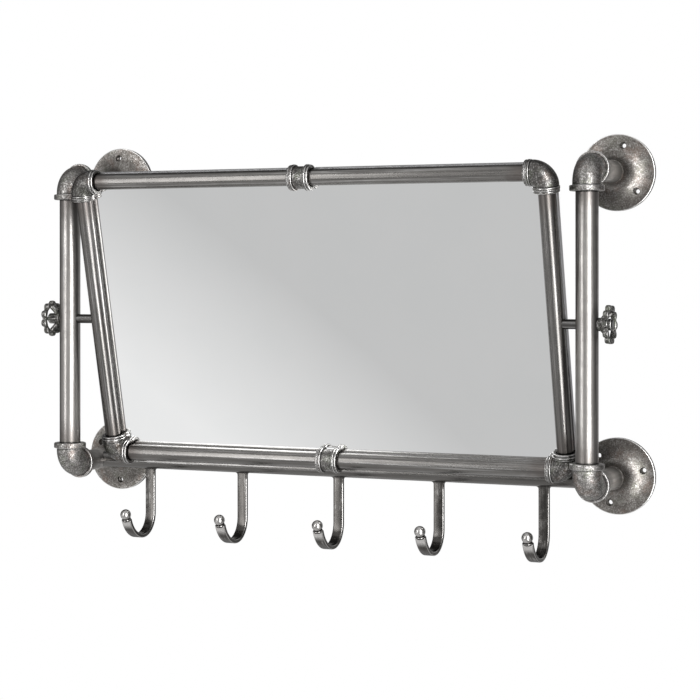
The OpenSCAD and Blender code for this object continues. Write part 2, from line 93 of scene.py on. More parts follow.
class Graph:
    def __init__(self, tree):
        self.tree = tree
        self.tree.nodes.clear()

    # out is one output, by name or number, or a list of them
    def add(self, kind, settings=None, inputs=None, out=0):
        node = self.tree.nodes.new(kind)
        for key, value in (settings or {}).items():
            setattr(node, key, value)
        for key, value in (inputs or {}).items():
            if isinstance(value, Sock):
                self.tree.links.new(value.out, node.inputs[key])
            else:
                node.inputs[key].default_value = value
        if isinstance(out, list):
            return [Sock(self, node.outputs[o]) for o in out]
        return Sock(self, node.outputs[out]) if len(node.outputs) else None

    # 0 below low, 1 above high, with a smooth step between; low above high turns it round
    def ramp(self, value, low, high):
        return self.add("ShaderNodeMapRange", {"clamp": True, "interpolation_type": "SMOOTHSTEP"},
                        {"Value": value, "From Min": low, "From Max": high, "To Min": 0.0, "To Max": 1.0})

    def mixColour(self, share, a, b):
        return self.add("ShaderNodeMix", {"data_type": "RGBA", "blend_type": "MIX", "clamp_factor": True},
                        {0: share, 6: a, 7: b}, out=2)

    # object coordinates, turned about X so that a leaning piece stands upright in them
    def place(self, leanDeg=0.0):
        at = self.add("ShaderNodeTexCoord", out="Object")
        return self.add("ShaderNodeMapping", {}, {"Vector": at, "Rotation": (math.radians(-leanDeg), 0, 0)})

    def stretch(self, at, scale):
        return self.add("ShaderNodeMapping", {}, {"Vector": at, "Scale": scale})

    def noise(self, at, scale, detail=3.0, rough=0.5, distort=0.0):
        return self.add("ShaderNodeTexNoise", {"noise_dimensions": "3D"},
                        {"Vector": at, "Scale": scale, "Detail": detail, "Roughness": rough, "Distortion": distort})

    # strength from 0 to 1, and the depth of the relief in metres
    def bump(self, strength, distance, height):
        return self.add("ShaderNodeBump", {}, {"Strength": strength, "Distance": distance, "Height": height})


def grey(v, warm=0.0):
    return (v * (1 + warm), v, v * (1 - warm), 1.0)


def newMaterial(name):
    mat = bpy.data.materials.new(name)
    mat.use_nodes = True
    return mat, Graph(mat.node_tree)


def finishMaterial(g, inputs):
    shader = g.add("ShaderNodeBsdfPrincipled", {}, inputs)
    g.add("ShaderNodeOutputMaterial", {}, {"Surface": shader})


# studio: metal reflects a pale card that falls off to the sides, with a soft glow overhead; the camera sees white
studio = {"surroundLow": 0.545, "surroundHigh": 0.83, "bandLow": 0.845, "bandHigh": 0.940, "sideDark": 0.08,
          "front": (-0.10, 0.55), "downShare": 1.3, "upShare": 0.35, "back": (0.55, 0.92), "backLevel": 0.40,
          "glow": (0.72, 1.0), "glowUp": 0.92, "glowFront": 0.39, "glowLevel": 0.45, "diffuseLevel": 0.55}


def addSurround(s):
    world = bpy.data.worlds.new("surround")
    scene.world = world
    world.use_nodes = True
    g = Graph(world.node_tree)
    way = g.add("ShaderNodeTexCoord", out="Generated")
    x, y, z = g.add("ShaderNodeSeparateXYZ", {}, {"Vector": way}, out=["X", "Y", "Z"])
    # the soft diagonal edge of the card, low and to the left of the viewer
    card = g.add("ShaderNodeMapRange", {"clamp": True},
                 {"Value": -(x + z), "From Min": s["bandLow"], "From Max": s["bandHigh"],
                  "To Min": s["surroundLow"], "To Max": s["surroundHigh"]})
    # it falls off to the sides, so that round metal gets dark edges, and comes back weakly behind
    front = g.ramp((-z).clamped() * s["downShare"] + z.clamped() * s["upShare"] - y, *s["front"])
    level = front * (card - s["sideDark"]) + s["sideDark"] + g.ramp(y, *s["back"]) * s["backLevel"]
    # the glow has no edge that the mirror could show
    level = level + g.ramp(z * s["glowUp"] - y * s["glowFront"], *s["glow"]) * s["glowLevel"]
    rays = ["Is Camera Ray", "Is Glossy Ray", "Is Transmission Ray"]
    isCamera, isGlossy, isThrough = g.add("ShaderNodeLightPath", out=rays)
    seen = (isCamera + isThrough).clamped()
    strength = seen + (1.0 - seen) * (isGlossy * level + (1.0 - isGlossy) * s["diffuseLevel"])
    back = g.add("ShaderNodeBackground", {}, {"Color": (1, 1, 1, 1), "Strength": strength})
    g.add("ShaderNodeOutputWorld", {}, {"Surface": back})


# a plain pale floor well below the object, which hangs on a wall
floorLook = {"z": -2.35, "size": 12.0, "grey": 0.86, "glow": 1.65, "glowShare": 0.5}


def addFloor(f):
    mesh = bpy.data.meshes.new("floor")
    h, z = f["size"] / 2, f["z"]
    mesh.from_pydata([(-h, -h, z), (h, -h, z), (h, h, z), (-h, h, z)], [], [(0, 1, 2, 3)])
    floor = bpy.data.objects.new("floor", mesh)
    scene.collection.objects.link(floor)
    mat, g = newMaterial("pale_floor")
    isCamera = g.add("ShaderNodeLightPath", out="Is Camera Ray")
    plain = g.add("ShaderNodeBsdfDiffuse", {}, {"Color": grey(f["grey"])})
    glow = g.add("ShaderNodeEmission", {}, {"Color": (1, 1, 1, 1), "Strength": f["glow"]})
    # partly plain and partly glow for the camera, so that the floor is white and still keeps the shadow
    surface = g.add("ShaderNodeMixShader", {}, {0: isCamera * f["glowShare"], 1: plain, 2: glow})
    g.add("ShaderNodeOutputMaterial", {}, {"Surface": surface})
    mesh.materials.append(mat)
    floor.visible_glossy = False


# two upright strip lamps; azimuth runs from straight ahead to the viewer's right
lamps = {"strip_right": {"power": 105, "size": (0.95, 4.0), "azimuthDeg": 42, "elevationDeg": -3, "distance": 2.6},
         "strip_left": {"power": 20, "size": (0.50, 2.2), "azimuthDeg": -28, "elevationDeg": 8, "distance": 2.6}}


def addLamp(name, lamp):
    data = bpy.data.lights.new(name, "AREA")
    data.shape = "RECTANGLE"
    data.size, data.size_y = lamp["size"]
    data.energy = lamp["power"]
    obj = bpy.data.objects.new(name, data)
    a, e = math.radians(lamp["azimuthDeg"]), math.radians(lamp["elevationDeg"])
    way = np.array((math.sin(a) * math.cos(e), -math.cos(a) * math.cos(e), math.sin(e)))
    obj.location = way * lamp["distance"]
    obj.rotation_euler = Vector(way).to_track_quat("Z", "Y").to_euler()
    scene.collection.objects.link(obj)


addSurround(studio)
addFloor(floorLook)
for lampName, lampSettings in lamps.items():
    addLamp(lampName, lampSettings)
print("studio set")


# where the parts sit, in millimetres: the frame's lean and pivot, the wall side, the frame's pipe axes
lean = {"turnDeg": 13.55, "shift": 3.0, "rise": 3.2}
wall = {"sideX": 329.35, "standoffZ": 175.2, "reach": 129.4, "pipeR": 12.7, "railY": -62.0, "railR": 9.5}
frameSize = {"x": 291.15, "z": 170.0}
corners = [(level + side, sx, sz) for side, sx in (("l", -1), ("r", 1)) for level, sz in (("t", 1), ("b", -1))]
meshing = {"sharpDeg": 38, "mergeM": 2e-7}


# surfaces: each shell is a grid of points in millimetres, closed round its columns, with a value per point for wear and
# painted light
def onFrame(p):
    # turned by the lean about the pivot axis, then moved to the pivot: y' = y cos t - z sin t, z' = y sin t + z cos t
    t = math.radians(lean["turnDeg"])
    x, y, z = p[..., 0], p[..., 1], p[..., 2]
    turned = np.stack([x, y * math.cos(t) - z * math.sin(t), y * math.sin(t) + z * math.cos(t)], -1)
    return turned + np.array((lean["shift"], -wall["reach"], lean["rise"]))


def soften(keys, steps=7, closed=False):
    # keys are rows of place along, radius, corner size and wear, where a negative wear value is painted shade; each
    # corner k becomes the curve k + d ((1 - t)^2 toBefore + t^2 toAfter), where d is the corner size, at most about
    # half a stretch
    k = np.array(keys, float)
    p = k[:, :2]
    before = (np.roll(p, 1, 0) if closed else np.vstack([p[:1], p[:-1]])) - p
    after = (np.roll(p, -1, 0) if closed else np.vstack([p[1:], p[-1:]])) - p
    lenBefore = np.linalg.norm(before, axis=1, keepdims=True)
    lenAfter = np.linalg.norm(after, axis=1, keepdims=True)
    d = np.minimum(k[:, 2:3], 0.49 * np.minimum(lenBefore, lenAfter))
    t = np.linspace(0, 1, steps)[None, :, None]
    toBefore = (before / np.maximum(lenBefore, 1e-9))[:, None, :]
    toAfter = (after / np.maximum(lenAfter, 1e-9))[:, None, :]
    line = (p[:, None, :] + d[:, None, :] * ((1 - t) ** 2 * toBefore + t ** 2 * toAfter)).reshape(-1, 2)
    return np.vstack([line, line[:1]]) if closed else line


def wearAndShadeNear(line, keys, reach=0.85):
    # wear and painted shade fall off from each marked corner k as value_k exp(-distance^2 / reach^2); the strongest rub
    # counts, and the strongest painted shade, which is negative
    k = np.array(keys, float)
    gap = ((line[:, None, :2] - k[None, :, :2]) ** 2).sum(-1)
    part = k[None, :, 3] * np.exp(-gap / reach ** 2)
    return np.clip(part.max(1), 0, None) + np.clip(part.min(1), None, 0)


def refine(line, step):
    # adds points so that no stretch is longer than step; what repeats is dropped
    run = np.concatenate([[0], np.cumsum(np.linalg.norm(np.diff(line, axis=0), axis=1))])
    kept = np.concatenate([[True], np.diff(run) > 1e-5])
    run, line = run[kept], line[kept]
    at = np.sort(np.concatenate([run, np.arange(0, run[-1], step)]))
    at = at[np.concatenate([[True], np.diff(at) > 1e-4])]
    return np.stack([np.interp(at, run, line[:, i]) for i in range(line.shape[1])], -1)


def crossWays(way):
    # the way at length 1, and two more square to it and to each other
    way = np.array(way, float) / np.linalg.norm(way)
    side = np.cross(way, (0, 0, 1) if abs(way[2]) < 0.9 else (1, 0, 0))
    side /= np.linalg.norm(side)
    return way, side, np.cross(way, side)


def bothEnds(half, total):
    # the rows of one end, then the same rows turned round for the other
    half = np.array(half, float)
    back = half[::-1].copy()
    back[:, 0] = total - back[:, 0]
    return np.vstack([half, back])


def revolve(keys, start, way, turns=96, step=1.5, closed=False):
    # p(s, a) = start + s way + r(s) (cos a side + sin a up)
    line = refine(soften(keys, closed=closed), step)
    line = line[:-1] if closed else line
    way, side, up = crossWays(way)
    a = np.linspace(0, 2 * math.pi, turns, endpoint=False)[None, :, None]
    s, r = line[:, 0, None, None], line[:, 1, None, None]
    p = np.array(start, float) + s * way + r * (np.cos(a) * side + np.sin(a) * up)
    return {"at": p, "wearAndPaintedLight": np.repeat(wearAndShadeNear(line, keys)[:, None], turns, 1), "loop": closed}


def bendRound(e, corner, wayA, wayB, turns=96, step=1.1):
    # the profile is carried along straight, quarter turn, straight: p(s, q) = c(s) + r(s) (cos q n(s) + sin q m),
    # where n points across the bend and m stands square to it
    straight = e["reach"] - e["bend"]
    total = 2 * straight + e["bend"] * math.pi / 2
    keys = bothEnds(e["half"], total)
    line = refine(soften(keys), step)
    s, r = line[:, 0:1], line[:, 1, None, None]
    a, b = np.array(wayA, float), np.array(wayB, float)
    turn = np.clip((s - straight) / e["bend"], 0, math.pi / 2)
    n = np.cos(turn) * b + np.sin(turn) * a
    c = np.array(corner, float) + e["bend"] * (a + b) - e["bend"] * n
    c = c + a * np.maximum(straight - s, 0) + b * np.maximum(s - total + straight, 0)
    q, m = np.linspace(0, 2 * math.pi, turns, endpoint=False)[None, :, None], np.cross(a, b)
    p = c[:, None, :] + r * (np.cos(q) * n[:, None, :] + np.sin(q) * m)
    return {"at": p, "wearAndPaintedLight": np.repeat(wearAndShadeNear(line, keys)[:, None], turns, 1)}


def shadeSmooth(mesh):
    mesh.polygons.foreach_set("use_smooth", np.ones(len(mesh.polygons), bool))
    mesh.set_sharp_from_angle(angle=math.radians(meshing["sharpDeg"]))


def meshFrom(name, shells, leaning=False):
    # all shells of one piece in one mesh; a shell whose volume comes out negative has its faces turned round
    verts, faces, wearAndPaintedLight, count = [], [], [], 0
    for shell in shells:
        p = onFrame(shell["at"]) if leaning else shell["at"]
        rows, cols = p.shape[:2]
        loop = shell.get("loop", False)
        r, c = np.meshgrid(np.arange(rows if loop else rows - 1), np.arange(cols), indexing="ij")
        r1, c1 = (r + 1) % rows, (c + 1) % cols
        quads = np.stack([r * cols + c, r * cols + c1, r1 * cols + c1, r1 * cols + c], -1).reshape(-1, 4)
        flat = p.reshape(-1, 3)
        q = flat[quads] - flat.mean(0)
        volume = np.einsum("ij,ij->", q[:, 0], np.cross(q[:, 1], q[:, 2]) + np.cross(q[:, 2], q[:, 3]))
        quads = quads[:, ::-1] if volume < 0 else quads
        verts.append(flat)
        wearAndPaintedLight.append(np.broadcast_to(shell["wearAndPaintedLight"], (rows, cols)).reshape(-1))
        faces.append(quads + count)
        count += len(flat)
    mesh = bpy.data.meshes.new(name)
    mesh.from_pydata((np.vstack(verts) / 1000).tolist(), [], np.vstack(faces).tolist())
    attribute = mesh.attributes.new("wearAndPaintedLight", "FLOAT", "POINT")
    attribute.data.foreach_set("value", np.concatenate(wearAndPaintedLight).astype(np.float32))
    bm = bmesh.new()
    bm.from_mesh(mesh)
    bmesh.ops.remove_doubles(bm, verts=bm.verts, dist=meshing["mergeM"])
    bm.to_mesh(mesh)
    bm.free()
    shadeSmooth(mesh)
    return mesh


def placePiece(name, mesh, mat, body, replaced):
    obj = bpy.data.objects.new(name, mesh)
    scene.collection.objects.link(obj)
    mesh.materials.clear()
    mesh.materials.append(mat)
    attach(obj, body)
    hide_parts(replaced)


def makePiece(name, shells, mat, body, replaced, leaning=False):
    placePiece(name, meshFrom(name, shells, leaning), mat, body, replaced)


def cutShells(mesh, shells):
    # takes closed shells out of a mesh and gives back the result
    whole, cutter = (bpy.data.objects.new(n, m) for n, m in (("whole", mesh), ("cutter", meshFrom("cutter", shells))))
    for obj in (whole, cutter):
        scene.collection.objects.link(obj)
    mod = whole.modifiers.new("holes", "BOOLEAN")
    mod.operation, mod.solver, mod.object = "DIFFERENCE", "EXACT", cutter
    bpy.context.view_layer.update()
    done = bpy.data.meshes.new_from_object(whole.evaluated_get(bpy.context.evaluated_depsgraph_get()))
    for obj in (whole, cutter):
        bpy.data.objects.remove(obj)
    shadeSmooth(done)
    return done


# side elbows: a plain round-edged band at each mouth; the negative fourth values paint shade inside the socket and in
# the groove behind the band
sideElbow = {"reach": 26.0, "bend": 18.0,
             "half": [(7, 0, 0, 0), (7, 12.85, 0, 0), (1.5, 12.85, 0.3, -0.6), (0, 14.3, 0.4, 0.2), (0, 19.5, 1.9, 1.0),
                      (6.6, 19.5, 1.7, 1.0), (6.6, 16.5, 0.5, -1.0), (7.3, 16.2, 0.6, -0.5), (10, 16.25, 2, 0)]}


def addSideElbows(e, mat):
    for corner, sx, sz in corners:
        at = (sx * wall["sideX"], -wall["reach"], sz * wall["standoffZ"])
        shell = bendRound(e, at, (0, 1, 0), (0, 0, -sz))
        makePiece(f"wall_elbow_{corner}", [shell], mat, "bracket", f"elbow_{corner}")
    print("side elbows made")


# frame elbows: from each mouth a thin lip, a groove, a fat bead and a second groove before the body; the negative
# fourth values paint shade inside the socket and in both grooves
frameElbow = {"reach": 22.0, "bend": 14.6,
              "half": [(6, 0, 0, 0), (6, 9.65, 0, 0), (1.4, 9.65, 0.3, -0.6), (0, 11.1, 0.4, 0.2), (0, 14.6, 1.2, 1.0),
                       (2.6, 14.6, 1.1, 0.9), (2.75, 13.55, 0.2, -1.0), (3.3, 13.55, 0.2, -1.0), (3.4, 15.0, 1.7, 1.0),
                       (6.9, 15.0, 1.6, 0.9), (7.0, 13.3, 0.25, -1.0), (7.55, 13.3, 0.25, -1.0), (7.7, 14.4, 0.5, 0.3),
                       (10, 14.45, 2, 0)]}


def addFrameElbows(e, mat):
    for corner, sx, sz in corners:
        at = (sx * frameSize["x"], 0, sz * frameSize["z"])
        shell = bendRound(e, at, (-sx, 0, 0), (0, 0, -sz))
        makePiece(f"corner_elbow_{corner}", [shell], mat, "mirror", f"frame_elbow_{corner}", True)
    print("frame elbows made")


# couplings: the same lip, groove and bead at each end, and a waist between; the negative fourth values paint shade
# inside the socket, in the groove and at the bead's foot
couplingShape = {"length": 26.5,
                 "half": [(6, 0, 0, 0), (6, 9.65, 0, 0), (1.4, 9.65, 0.3, -0.6), (0, 11.1, 0.4, 0.2),
                          (0, 14.8, 1.1, 1.0), (2.3, 14.8, 1.0, 0.9), (2.45, 13.7, 0.25, -1.0),
                          (3.0, 13.7, 0.25, -1.0), (3.15, 15.3, 1.6, 1.0), (6.5, 15.3, 1.5, 0.9),
                          (6.7, 13.2, 0.5, -1.0), (9, 13.1, 2, 0)]}


def addCouplings(c, mat):
    keys = bothEnds(c["half"], c["length"])
    for level, sz in (("top", 1), ("bottom", -1)):
        shell = revolve(keys, (-c["length"] / 2, 0, sz * frameSize["z"]), (1, 0, 0))
        makePiece(f"pipe_coupling_{level}", [shell], mat, "mirror", f"coupling_{level}", True)
    print("couplings made")


# flanges: a trumpet that leaves the standoff without a step, with three countersunk holes; socket is the height above
# the wall at which the pipe's seat ends, and cut is where the holes' cutter starts and stops
flangeShape = {"outR": 44.5, "rimH": 6.6, "rimEdge": 1.3, "rimWear": 1.4, "neckH": 29.0, "neckR": 13.6, "land": 1.6,
               "rise": 1.6, "socket": 20, "pipeGap": 0.05, "holes": 3, "holeRing": 32.0, "holeR": 2.5, "holeWall": 3.0,
               "sinkR": 4.0, "cut": (-1, 30), "hornSteps": 26, "footInset": 0.3, "footEdge": 0.4, "footWear": 0.3,
               "rimInset": 0.2, "mouthOut": 0.1, "turns": {"tl": 94, "tr": 77, "bl": -89, "br": 14}}


def addFlanges(f, mat):
    # trumpet: r = neck + (land - neck) t^2, h = rim + (neckH - rim) (1 - t)^rise
    t = np.linspace(1, 0, f["hornSteps"])
    landR = f["outR"] - f["land"]
    horn = np.stack([f["rimH"] + (f["neckH"] - f["rimH"]) * (1 - t) ** f["rise"],
                     f["neckR"] + (landR - f["neckR"]) * t ** 2, 0 * t, 0 * t], -1)
    rim = [(0, 0, 0, 0), (0, f["outR"] - f["footInset"], f["footEdge"], f["footWear"]),
           (f["rimH"] - f["rimInset"], f["outR"], f["rimEdge"], f["rimWear"])]
    seatR = wall["pipeR"] + f["pipeGap"]
    seat = [(f["neckH"] + f["mouthOut"], seatR, f["mouthOut"], 0), (f["socket"], seatR, 0, 0), (f["socket"], 0, 0, 0)]
    keys = np.vstack([rim, horn, seat])
    low, high = f["cut"]
    sinkAt = f["holeWall"] + f["sinkR"] - f["holeR"]
    sink = [(low, 0, 0, 0), (low, f["holeR"], 0, 0), (f["holeWall"], f["holeR"], 0, 0), (sinkAt, f["sinkR"], 0, 0),
            (high, f["sinkR"], 0, 0), (high, 0, 0, 0)]
    for corner, sx, sz in corners:
        x, z = sx * wall["sideX"], sz * wall["standoffZ"]
        turns = np.radians(f["turns"][corner] + np.arange(f["holes"]) * 360 / f["holes"])
        places = [(x + f["holeRing"] * math.cos(a), 0, z + f["holeRing"] * math.sin(a)) for a in turns]
        mesh = meshFrom(f"wall_flange_{corner}", [revolve(keys, (x, 0, z), (0, -1, 0), turns=144, step=1.3)])
        mesh = cutShells(mesh, [revolve(sink, at, (0, -1, 0), turns=40, step=50) for at in places])
        placePiece(f"wall_flange_{corner}", mesh, mat, "bracket", f"flange_{corner}")
    print("wall flanges made")


# hooks: a rounded bar down from the rail, a quarter turn and a slower rising arm, then collar, neck and ball; the neck
# under the collar is darkened as painted shade, and the front of the arm tip is lightened as a painted highlight
hookShape = {"count": 5, "spacing": 128.2, "shift": 2.6, "buried": 1.5, "width": 13.0, "thick": 5.0, "edge": 1.75,
             "edgeSteps": 7, "flare": 2.8, "drop": 63.5, "bend": 26.0, "arm": 36.0, "armTurnDeg": 69.0,
             "fineTo": 7, "fineSteps": 22, "dropSteps": 18, "bendSteps": 30, "edgeWearFrom": 2, "edgeWearOver": 8,
             "faceInset": 0.2, "edgeWear": 0.72, "armHighlight": 0.72, "armHighlightLen": (26, 6),
             "ballR": 6.5, "ballAt": 6.8, "ballFromDeg": 42, "ballSteps": 24, "ballWear": 0.68,
             "collar": [(-1.6, 0, 0, 0), (-1.6, 5.5, 1.1, 0.9), (1.1, 5.5, 1.1, 0.9),
                                          (1.3, 4.2, 0.4, -1.0), (2.6, 4.2, 0.3, -1.0)]}


def hookBar(x, h):
    # c(s): straight for the drop, then y = -bend (1 - cos a) and z = -bend sin a, then the same with arm
    top = wall["railR"] - h["buried"]
    straight = h["drop"] - top
    quarter = h["bend"] * math.pi / 2
    rising = h["arm"] * math.radians(h["armTurnDeg"])
    s = np.concatenate([np.linspace(0, h["fineTo"], h["fineSteps"]),
                        np.linspace(h["fineTo"], straight, h["dropSteps"])[1:],
                        straight + np.linspace(0, quarter, h["bendSteps"])[1:],
                        straight + quarter + np.linspace(0, rising, h["bendSteps"])[1:]])
    first = np.clip((s - straight) / h["bend"], 0, math.pi / 2)
    second = np.clip((s - straight - quarter) / h["arm"], 0, None)
    turn = first + second
    y = -h["bend"] * (1 - np.cos(first)) - h["arm"] * np.sin(second)
    z = -top - np.minimum(s, straight) - h["bend"] * np.sin(first) + h["arm"] * (1 - np.cos(second))
    c = np.stack([0 * s + x, y + wall["railY"], z - wall["standoffZ"]], -1)
    n = np.stack([0 * s, np.cos(turn), -np.sin(turn)], -1)
    # section: a rectangle with its corners rounded to the edge radius
    steps = h["edgeSteps"]
    corner = np.repeat(np.arange(4), steps)
    a = np.radians(corner * 90 + np.tile(np.linspace(0, 90, steps), 4))
    u = np.where((corner == 0) | (corner == 3), 1, -1) * (h["width"] / 2 - h["edge"]) + h["edge"] * np.cos(a)
    v = np.where(corner < 2, 1, -1) * (h["thick"] / 2 - h["edge"]) + h["edge"] * np.sin(a)
    # flare into the rail: a fillet of the flare's radius, on both sides of the bar
    gone = np.clip(h["flare"] - (s - h["buried"]), 0, h["flare"])
    extra = h["flare"] - np.sqrt(h["flare"] ** 2 - gone ** 2)
    wide = u[None, :] + np.sign(u)[None, :] * extra[:, None]
    p = c[:, None, :] + wide[..., None] * np.array((1, 0, 0)) + v[None, :, None] * n[:, None, :]
    p = np.concatenate([np.repeat(c[:1], 4 * steps, 0)[None], p, np.repeat(c[-1:], 4 * steps, 0)[None]])
    # rubbed along the long edges; the front of the arm near its tip gets a painted highlight for the light this outer
    # face catches
    edges = np.sin(np.radians(np.tile(np.linspace(0, 180, steps), 4)))
    w = np.clip((s - h["edgeWearFrom"]) / h["edgeWearOver"], 0, 1)[:, None] * edges[None, :] * h["edgeWear"]
    front = np.where(v > h["thick"] / 2 - h["faceInset"], 1, 0)
    far, near = h["armHighlightLen"]
    onArm = np.clip((s - s[-1] + far) / (far - near), 0, 1)
    w = np.maximum(w, h["armHighlight"] * onArm[:, None] * front[None, :])
    way = np.array((0, -math.sin(turn[-1]), -math.cos(turn[-1])))
    return {"at": p, "wearAndPaintedLight": np.concatenate([w[:1], w, w[-1:]])}, c[-1], way


def addHooks(h, mat):
    # ball: along = ballAt - R cos a, radius = R sin a, from the neck to the pole
    a = np.linspace(math.radians(h["ballFromDeg"]), math.pi, h["ballSteps"])
    ball = np.stack([h["ballAt"] - h["ballR"] * np.cos(a), h["ballR"] * np.sin(a), 0 * a, 0 * a + h["ballWear"]], -1)
    ball[-1, 1] = 0
    for i in range(h["count"]):
        bar, end, way = hookBar(h["shift"] + (i - (h["count"] - 1) / 2) * h["spacing"], h)
        tip = revolve(np.vstack([h["collar"], ball]), end, way, turns=56, step=1.0)
        makePiece(f"coat_hook_{i + 1}", [bar, tip], mat, "bracket", f"hook_{i + 1}")
    print("hooks made")


# handwheels: a dished, lobed rim, round spokes and a tapered hub, all drawn round Z with the frame's side at z = 0
wheelShape = {"turns": {"l": 67.5, "r": 54.5}, "hubIn": 13.0, "lobes": 10, "lobeR": 4.6, "outR": 22.0, "ringOut": 18.7,
              "ringIn": 15.4, "lobeT": 3.4, "ringT": 2.7, "rimAt": 12.6, "blend": 2.6, "square": 0.55, "ease": 0.03,
              "aroundSteps": 400, "sectionSteps": 44, "edgeWear": (1.6, 0.8), "ringWear": 0.35, "lobeWear": 0.5,
              "spokes": 5, "spokeFrom": (5.8, 4.2), "spokeTo": (16.2, 12.3), "spokeR": 2.0, "spokeSwell": 0.45,
              "spokeFlat": 0.9, "spokeSteps": (18, 28), "spokeWear": 0.1,
              "hub": [(0, 5.6, 0.2, 0), (0, 7.4, 1.6, 0.5), (6.5, 7.4, 2, 0), (9.0, 6.5, 2, 0),
                                        (14.9, 6.4, 0.8, 0.8), (15.5, 5.9, 0.3, 0.3), (15.5, 5.6, 0.1, 0)]}


def squared(q, power):
    return np.sign(q) * np.abs(q) ** power


def rimGrid(w):
    # outline: out(a) is the smooth maximum of the ring and the far side of the nearest lobe's circle
    a = np.linspace(0, 2 * math.pi, w["aroundSteps"], endpoint=False)
    pitch = 2 * math.pi / w["lobes"]
    off = np.mod(a, pitch) - pitch / 2
    c = w["outR"] - w["lobeR"]
    far = c * np.cos(off) + np.sqrt(np.maximum(w["lobeR"] ** 2 - (c * np.sin(off)) ** 2, 0))
    out = w["ringOut"] + np.log1p(np.exp((far - w["ringOut"]) * w["blend"])) / w["blend"] - w["ease"]
    high = np.clip((out - w["ringOut"]) / (w["outR"] - w["ringOut"]), 0, 1)
    half = w["ringT"] + (w["lobeT"] - w["ringT"]) * high
    # section: a squared oval, r = middle + reach cos' b and z = half sin' b, where ' raises the size to the power
    b = np.linspace(0, 2 * math.pi, w["sectionSteps"], endpoint=False)
    middle, reach = (out + w["ringIn"]) / 2, (out - w["ringIn"]) / 2
    r = middle[:, None] + reach[:, None] * squared(np.cos(b), w["square"])[None, :]
    z = half[:, None] * squared(np.sin(b), w["square"])[None, :] + w["rimAt"]
    gain, loss = w["edgeWear"]
    onEdge = np.clip(gain * np.abs(np.sin(2 * b)) - loss, 0, 1)
    wearAndPaintedLight = onEdge[None, :] * (w["ringWear"] + w["lobeWear"] * high[:, None])
    return {"at": np.stack([r * np.cos(a)[:, None], r * np.sin(a)[:, None], z], -1), "wearAndPaintedLight": wearAndPaintedLight, "loop": True}


def spokeGrid(w, a):
    # a round bar from hub to rim, thicker at both ends: radius = r (1 + swell (2 t - 1)^4)
    alongSteps, roundSteps = w["spokeSteps"]
    t = np.linspace(0, 1, alongSteps)
    start, end = np.array(w["spokeFrom"]), np.array(w["spokeTo"])
    line = start + (end - start) * t[:, None]
    way = (end - start) / np.linalg.norm(end - start)
    radius = w["spokeR"] * (1 + w["spokeSwell"] * (2 * t - 1) ** 4) * np.where((t == 0) | (t == 1), 0, 1)
    b = np.linspace(0, 2 * math.pi, roundSteps, endpoint=False)
    r = line[:, 0:1] - radius[:, None] * np.cos(b) * way[1]
    z = line[:, 1:2] + radius[:, None] * np.cos(b) * way[0]
    side = radius[:, None] * np.sin(b) * w["spokeFlat"]
    x, y = r * math.cos(a) - side * math.sin(a), r * math.sin(a) + side * math.cos(a)
    return {"at": np.stack([x, y, z + 0 * x], -1), "wearAndPaintedLight": w["spokeWear"]}


def addWheels(w, mat):
    for side, sx in (("l", -1), ("r", 1)):
        shells = [rimGrid(w), revolve(w["hub"], (0, 0, 0), (0, 0, 1), turns=72, step=1.2, closed=True)]
        shells += [spokeGrid(w, 2 * math.pi * i / w["spokes"]) for i in range(w["spokes"])]
        turn = math.radians(w["turns"][side])
        out = wall["sideX"] - sx * lean["shift"] + w["hubIn"]
        for shell in shells:
            # turned about its own axis first, then the axis is laid along the rod: x = side z, z = -side x
            x, y, z = (shell["at"][..., i] for i in range(3))
            spun = (x * math.cos(turn) - y * math.sin(turn), x * math.sin(turn) + y * math.cos(turn))
            shell["at"] = np.stack([sx * (z + out), spun[1], -sx * spun[0]], -1)
        makePiece(f"valve_wheel_{side}", shells, mat, f"wheel_{side}", f"handwheel_{side}", True)
    print("handwheels made")


# pipe steel: fine streaks along the pipe, mill scale left in patches, small rust-brown freckles, a brown darkening
# towards where a fitting grips it, and a thin line of painted shade at the fitting's mouth; ends is the middle of the
# open length and half of that length, in millimetres along the pipe, while the edges of the darkening and of the
# shade line are in metres
pipeFinish = {"base": 0.37, "dark": 0.23, "bright": 0.62, "roughLow": 0.24, "roughHigh": 0.37, "bump": (0.5, 0.00002),
              "acrossPerM": 760.0, "alongPerM": 9.0, "patchPerM": 34.0, "dotsPerM": 748.0, "streaks": (0.32, 0.68),
              "bands": (0.36, 0.64), "shine": (0.27, 0.40), "shineShare": 0.7,
              "scale": 0.12, "scaleShare": 0.22, "scaleBand": (0.60, 0.72),
              "freckle": (0.16, 0.115, 0.085, 1.0), "freckleShare": 0.55, "freckleBand": (0.66, 0.72),
              "freckleWhere": (0.42, 0.6), "dull": {"streak": 0.4, "scale": 0.6, "freckle": 0.5, "endDarkening": 0.7},
              "ends": (0.0, 1000.0), "endDarkening": (0.100, 0.086, 0.079, 1.0), "endDarkeningShare": 0.62, "endDarkeningLen": 30.0,
              "endDarkeningEdge": (0.018, 0.022), "endDarkeningCloud": (0.030, 0.020), "mouthShade": (0.0018, 0.0004), "mouthShadeShare": 0.9,
              "mouthShadeGrey": 0.02}


